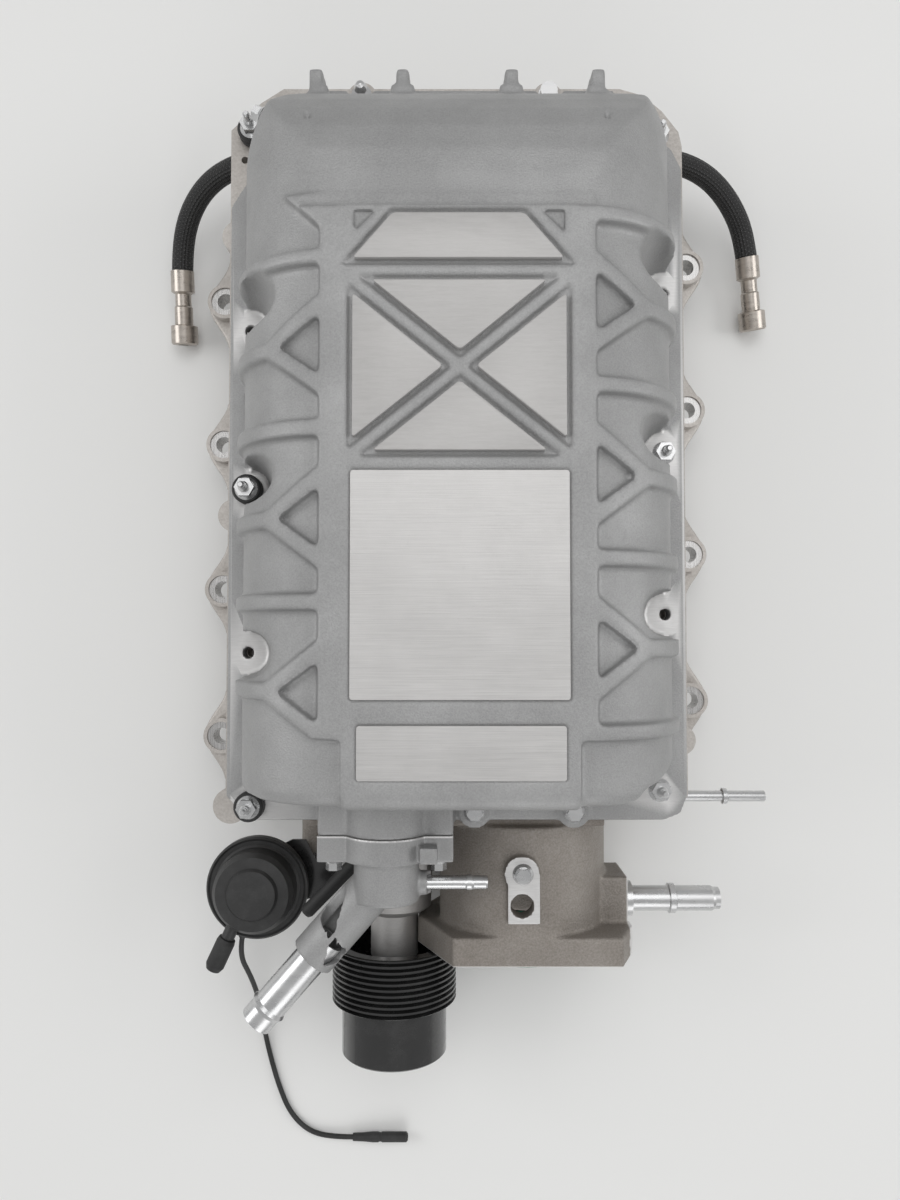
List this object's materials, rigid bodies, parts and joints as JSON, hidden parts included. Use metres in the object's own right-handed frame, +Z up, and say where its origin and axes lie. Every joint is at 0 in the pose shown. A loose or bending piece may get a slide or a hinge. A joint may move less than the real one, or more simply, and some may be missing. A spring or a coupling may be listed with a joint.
{
  "type": "supercharger",
  "caption": "Twin-rotor engine supercharger with belt pulley, ribbed intercooler lid, side intake flanges, bypass actuator, coolant neck and trailing hoses.",
  "frame": {"origin": "on the flat belly face, below the middle of the lid", "axes": "+Z up, -Y towards the pulley and the throttle flange, +X to the engine's side with the throttle"},
  "size_m": [0.4329, 0.6999, 0.2075],
  "materials": {
    "raw_casting": "as cast",
    "lid_casting": "fine cast",
    "duct_casting": "coarse cast",
    "machined_aluminium": "machined",
    "plate_aluminium": "brushed",
    "bare_steel": "satin",
    "zinc_steel": "bright zinc",
    "nickel": "satin nickel",
    "gloss_black": "gloss",
    "charcoal": "satin",
    "black_rubber": "matt",
    "green_seal": "matt",
    "braid": "woven"
  },
  "bodies": {
    "housing": {"manifold_housing": "raw_casting", "gear_cover": "raw_casting", "rear_bearing_plate": "raw_casting", "front_bearing_plate": "raw_casting", "lid": "lid_casting", "coolant_neck": "lid_casting", "inlet_housing": "duct_casting", "nose_housing": "machined_aluminium", "intercooler_core": "machined_aluminium", "intercooler_front_tank": "machined_aluminium", "intercooler_rear_tank": "machined_aluminium", "emblem_plate": "plate_aluminium", "name_plate": "plate_aluminium", "bolt_limiters": "bare_steel", "front_rotor_bearings": "bare_steel", "rear_rotor_bearings": "bare_steel", "nose_bearings": "bare_steel", "flange_bolts": "zinc_steel", "lid_studs": "zinc_steel", "lid_nuts": "zinc_steel", "bleed_screw": "zinc_steel", "rear_studs": "zinc_steel", "bracket_screws": "zinc_steel", "tube_nipple": "zinc_steel", "coolant_pipe": "zinc_steel", "vent_pipe": "zinc_steel", "quick_connect_pipe": "zinc_steel", "vacuum_port_pipe": "zinc_steel", "crossover_pipe": "zinc_steel", "pipe_clips": "black_rubber", "actuator_bracket": "gloss_black", "actuator_can": "charcoal", "actuator_cap": "charcoal", "nipple_cap": "black_rubber", "breather_tube": "black_rubber", "stud_grommets": "black_rubber", "head_seals": "black_rubber", "nose_seal": "black_rubber", "lid_gasket": "black_rubber", "vacuum_line": "black_rubber", "vacuum_connector": "black_rubber", "inlet_seal": "green_seal", "hose_left": "braid", "hose_right": "braid", "hose_fitting_left": "nickel", "hose_fitting_right": "nickel"},
    "drive_train": {"input_shaft": "bare_steel", "pulley": "gloss_black", "pulley_bolt": "zinc_steel", "drive_coupling": "bare_steel", "drive_rotor_shaft": "bare_steel", "drive_rotor": "machined_aluminium", "drive_gear": "bare_steel"},
    "driven_train": {"driven_rotor_shaft": "bare_steel", "driven_rotor": "machined_aluminium", "driven_gear": "bare_steel"},
    "bypass": {"bypass_shaft": "bare_steel", "bypass_plate": "bare_steel", "bypass_lever": "bare_steel"},
    "actuator": {"actuator_rod": "bare_steel"}
  },
  "joints": [
    {"name": "drive_spin", "type": "hinge", "parent": "housing", "child": "drive_train", "pos_m": [-0.0405, 0, 0.058], "axis": [0, 1, 0], "continuous": true},
    {"name": "driven_spin", "type": "hinge", "parent": "housing", "child": "driven_train", "pos_m": [0.0405, 0, 0.058], "axis": [0, 1, 0], "continuous": true},
    {"name": "bypass_turn", "type": "hinge", "parent": "housing", "child": "bypass", "pos_m": [-0.0955, -0.166, 0.044], "axis": [0, 1, 0], "range_deg": [0, 34]},
    {"name": "rod_slide", "type": "slide", "parent": "housing", "child": "actuator", "axis": [0, 0, 1], "range_m": [0, 0.0185], "stiffness_N_per_m": 150, "springref_m": -0.004}
  ],
  "couplings": [
    {"joint": "driven_spin", "follows": "drive_spin", "ratio": -1},
    {"joint": "bypass_turn", "follows": "rod_slide", "rad_per_m": 32}
  ]
}
